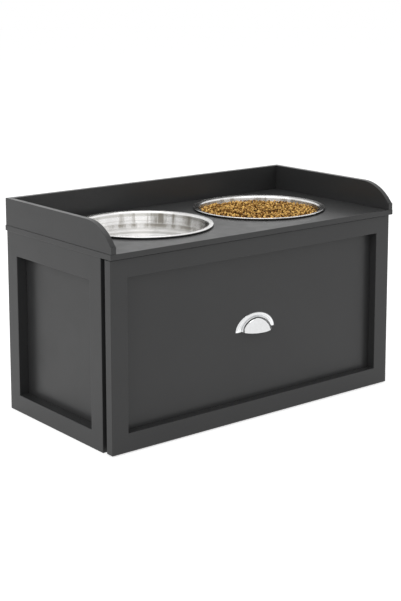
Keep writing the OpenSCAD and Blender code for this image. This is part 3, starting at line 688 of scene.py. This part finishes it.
def add_pull_post(bm, to_place, sideways, up):
    """A round screw post with a screw hole, running back from the flange into the panel."""
    sides = 32
    section = (
        (POST_R, -POST_ROOT), (POST_R, POST_DEPTH - POST_EDGE), (POST_R - POST_EDGE, POST_DEPTH),
        (POST_BORE_R, POST_DEPTH), (POST_BORE_R, POST_WEB), (0, POST_WEB),
    )
    rows = []
    for radius, back in section:
        turns = [2 * math.pi * i / sides for i in range(sides)] if radius else [0]
        rows.append([
            bm.verts.new(to_place(sideways + radius * math.cos(turn), up + radius * math.sin(turn), -back))
            for turn in turns
        ])
    grid_faces(bm, rows[:-1], closed=True)
    bm.faces.new(rows[0])
    for i in range(sides):
        bm.faces.new((rows[-2][i], rows[-2][(i + 1) % sides], rows[-1][0]))


def make_pull():
    """Half-moon cup pull: domed flange ring with a groove, thin-walled cup open at the bottom, two posts."""
    low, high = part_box("cup_pull")
    panel_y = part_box("drawer_front_panel")[0].y
    middle = (low.x + high.x) / 2

    def to_place(sideways, up, forward):
        return (middle + sideways, panel_y - forward, low.z + up)

    bm = bmesh.new()
    add_pull_ring(bm, to_place, (high.x - low.x) / 2, high.z - low.z)
    add_pull_cup(bm, to_place, panel_y - low.y)
    for side in (-1, 1):
        add_pull_post(bm, to_place, side * POST_SPACING / 2, POST_RISE)
    piece = as_object(
        "cup_pull_cast", mesh_from(bm, "cup_pull_cast"), body_of["cup_pull"],
        finishes["chrome_pull"], ["cup_pull"],
    )
    weigh_normals(piece)


def finish_node(node):
    """Gives a CAD node that stays its own material."""
    mesh = nodes[node].data
    mesh.materials.clear()
    mesh.materials.append(finishes[slot_of[node]])


def make_camera():
    """The main camera, a little above the object and to its left."""
    data = bpy.data.cameras.new("camera")
    camera = bpy.data.objects.new("camera", data)
    bpy.context.scene.collection.objects.link(camera)
    camera.location = CAMERA_PLACE
    camera.rotation_euler = Euler(
        (math.radians(90 - CAMERA_DOWN), math.radians(CAMERA_ROLL), -math.radians(CAMERA_AZIMUTH))
    )
    data.lens = CAMERA_LENS
    data.shift_y = CAMERA_SHIFT
    data.clip_end = CAMERA_REACH
    bpy.context.scene.camera = camera


def seen_share(tree):
    """1 for camera, glossy and transmission rays, else 0."""
    path = tree.nodes.new("ShaderNodeLightPath").outputs
    total = path["Is Camera Ray"]
    for name in ("Is Glossy Ray", "Is Transmission Ray"):
        most = tree.nodes.new("ShaderNodeMath")
        most.operation = "MAXIMUM"
        tree.links.new(total, most.inputs[0])
        tree.links.new(path[name], most.inputs[1])
        total = most.outputs[0]
    return total


AMBIENT = 0.52


def make_world():
    """White where it is seen or mirrored, a plain soft light for everything else."""
    world = bpy.data.worlds.new("studio")
    bpy.context.scene.world = world
    world.use_nodes = True
    tree = world.node_tree
    sky = tree.nodes["Background"]
    level = tree.nodes.new("ShaderNodeMapRange")
    tree.links.new(seen_share(tree), level.inputs["Value"])
    level.inputs["To Min"].default_value = AMBIENT
    level.inputs["To Max"].default_value = 1.0
    sky.inputs["Color"].default_value = (1, 1, 1, 1)
    tree.links.new(level.outputs[0], sky.inputs["Strength"])


FLOOR_COLOUR = 0.72
FLOOR_LIFT = 0.625
FLOOR_R = 14


def make_floor():
    """A wide pale floor that keeps the object's shadow and is white elsewhere."""
    bm = bmesh.new()
    bmesh.ops.create_circle(bm, cap_ends=True, segments=96, radius=FLOOR_R)
    mesh = mesh_from(bm, "floor", smooth=False)
    floor = bpy.data.objects.new("floor", mesh)
    bpy.context.scene.collection.objects.link(floor)
    material = bpy.data.materials.new("floor")
    material.use_nodes = True
    tree = material.node_tree
    shader = tree.nodes["Principled BSDF"]
    shader.inputs["Base Color"].default_value = grey(FLOOR_COLOUR)
    shader.inputs["Roughness"].default_value = 0.9
    shader.inputs["Specular IOR Level"].default_value = 0.0
    shader.inputs["Emission Color"].default_value = (1, 1, 1, 1)
    lift = tree.nodes.new("ShaderNodeMath")
    lift.operation = "MULTIPLY"
    tree.links.new(seen_share(tree), lift.inputs[0])
    lift.inputs[1].default_value = FLOOR_LIFT
    tree.links.new(lift.outputs[0], shader.inputs["Emission Strength"])
    mesh.materials.append(material)


LAMP_TARGET = (0, 0, 0.2)
# Name, place, diameter and watts of each lamp, and whether shiny surfaces mirror it
LAMPS = (
    ("left_key", (-2.6, -0.9, 1.9), 1.6, 32, False),
    ("front_fill", (1.4, -2.6, 1.6), 1.8, 18, False),
    ("top_soft", (0.2, 0.4, 3.0), 2.2, 24, True),
)


def make_lamp(name, place, size, watts, mirrored):
    """A round area lamp aimed at the object."""
    data = bpy.data.lights.new(name, "AREA")
    data.shape = "DISK"
    data.size = size
    data.energy = watts
    lamp = bpy.data.objects.new(name, data)
    bpy.context.scene.collection.objects.link(lamp)
    lamp.location = place
    lamp.visible_glossy = mirrored
    lamp.rotation_euler = (Vector(LAMP_TARGET) - Vector(place)).to_track_quat("-Z", "Y").to_euler()


# Width of the rounding on each kind of edge
GUARD_EDGE = 0.4 * MM
BOARD_EDGE = 0.8 * MM
DRAWER_EDGE = 0.6 * MM
RAIL_EDGE = 0.35 * MM

for name in PAINTED:
    soften(name, GUARD_EDGE if name in GUARDS else BOARD_EDGE)
for name in DRAWER_BOARDS:
    soften(name, DRAWER_EDGE)
for name in RAILS:
    soften(name, RAIL_EDGE, steps=2)
for name in (*ZINC, *CAST, *DOWELS, *CAGES, *BLACK):
    finish_node(name)
for side in ("left", "right"):
    make_bowl(side)
make_kibble()
make_pull()
make_camera()
make_world()
make_floor()
for lamp in LAMPS:
    make_lamp(*lamp)

bpy.context.scene.view_settings.view_transform = "Standard"
